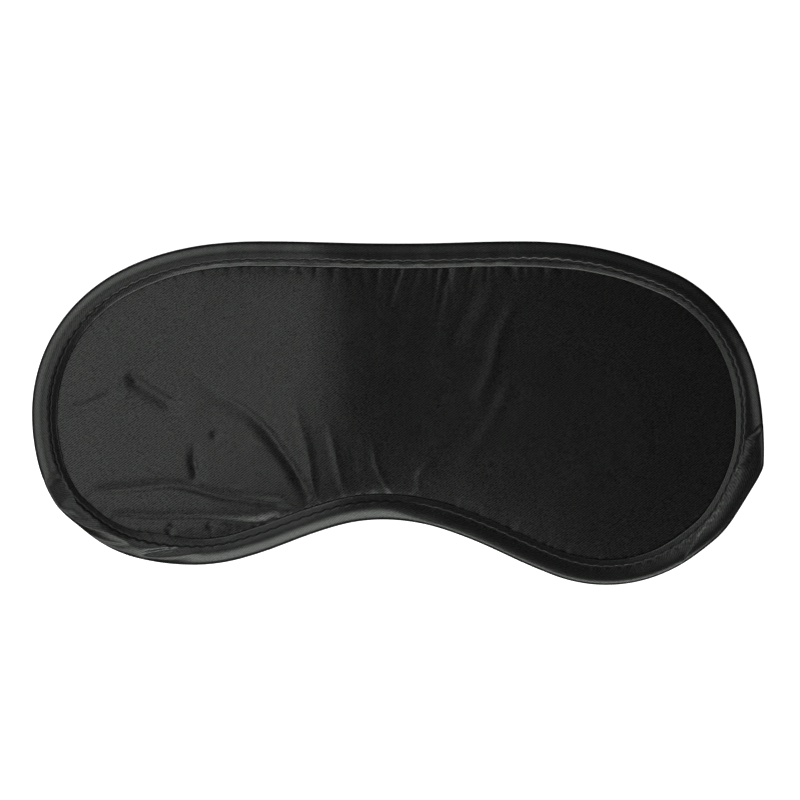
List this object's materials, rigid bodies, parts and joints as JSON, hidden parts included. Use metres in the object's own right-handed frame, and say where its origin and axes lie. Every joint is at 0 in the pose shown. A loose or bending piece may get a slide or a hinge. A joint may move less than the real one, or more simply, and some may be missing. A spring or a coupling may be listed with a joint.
{
  "type": "sleep eye mask",
  "caption": "Padded sleep eye mask with a bound edge, a nose notch and two elastic straps that close behind the head with hook and loop.",
  "frame": {"origin": "under the middle of the mask's outline, at the level of the surface it lies on", "axes": "+X along the mask's length towards the wearer's left, +Y towards the brow edge, +Z out of the face panel, away from the wearer"},
  "size_m": [0.19, 0.0892, 0.0107],
  "materials": {
    "face_satin": "black satin weave with a soft sheen",
    "binding_satin": "black satin bias strip with a soft sheen",
    "sewing_thread": "black polyester thread",
    "wadding": "white polyester wadding",
    "blackout_cloth": "matt black close-woven cloth",
    "lining_cloth": "matt black brushed cotton",
    "elastic_tape": "black woven elastic",
    "hook_tape": "black nylon hooks",
    "loop_tape": "black nylon loop pile"
  },
  "bodies": {
    "mask": {"face_panel": "face_satin", "wadding": "wadding", "blackout_layer": "blackout_cloth", "lining_panel": "lining_cloth", "binding_tape": "binding_satin", "binding_needle_stitches": "sewing_thread", "binding_bobbin_stitches": "sewing_thread", "left_strap_sewn_end": "elastic_tape", "right_strap_sewn_end": "elastic_tape"},
    "left_strap": {"left_strap_elastic": "elastic_tape", "loop_patch": "loop_tape", "loop_patch_stitches": "sewing_thread"},
    "right_strap": {"right_strap_elastic": "elastic_tape", "hook_patch": "hook_tape", "hook_patch_stitches": "sewing_thread"}
  },
  "joints": [
    {"name": "left_strap_swing", "type": "hinge", "parent": "mask", "child": "left_strap", "pos_m": [-0.0824, -0.0186, 0.0013], "axis": [-0.309, 0.9511, 0], "range_deg": [0, 179.9]},
    {"name": "right_strap_swing", "type": "hinge", "parent": "mask", "child": "right_strap", "pos_m": [0.086, -0.0086, 0.0013], "axis": [0.0523, -0.9986, 0], "range_deg": [0, 179.9]}
  ]
}
